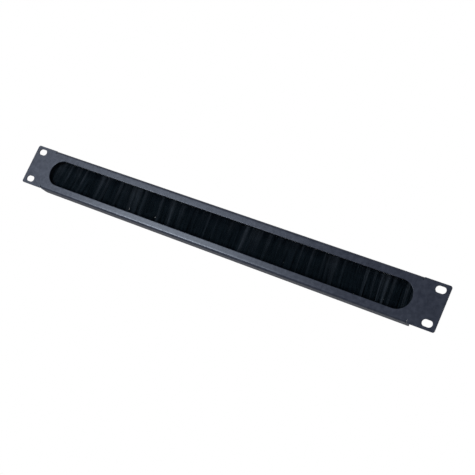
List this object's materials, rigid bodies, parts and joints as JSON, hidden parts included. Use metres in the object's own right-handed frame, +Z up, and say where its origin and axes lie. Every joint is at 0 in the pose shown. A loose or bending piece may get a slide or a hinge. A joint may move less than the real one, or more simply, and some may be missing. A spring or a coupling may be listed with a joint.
{
  "type": "rack brush strip panel",
  "caption": "One-rack-unit folded steel panel with a long round-ended cable slot filled by a hanging black strip brush, and slotted ears for a 19-inch rack.",
  "frame": {"origin": "centre of the four rack slots, on the rear face of the ears, which meets the rack rails", "axes": "+X along the panel, +Z up, and the front of the panel faces -Y, so the flanges run back towards +Y"},
  "size_m": [0.4826, 0.014, 0.044],
  "materials": {
    "powder_coat": "satin black powder coat with a fine texture",
    "rail_aluminium": "plain extruded aluminium",
    "strip_steel": "zinc-plated steel strip and wire",
    "bristle_nylon": "black nylon filament",
    "rivet_steel": "blackened steel"
  },
  "bodies": {
    "root": {"front_panel": "powder_coat", "brush_rail": "rail_aluminium", "strip_channel": "strip_steel", "core_wire": "strip_steel", "bristles": "bristle_nylon", "rivets": "rivet_steel"}
  },
  "joints": []
}
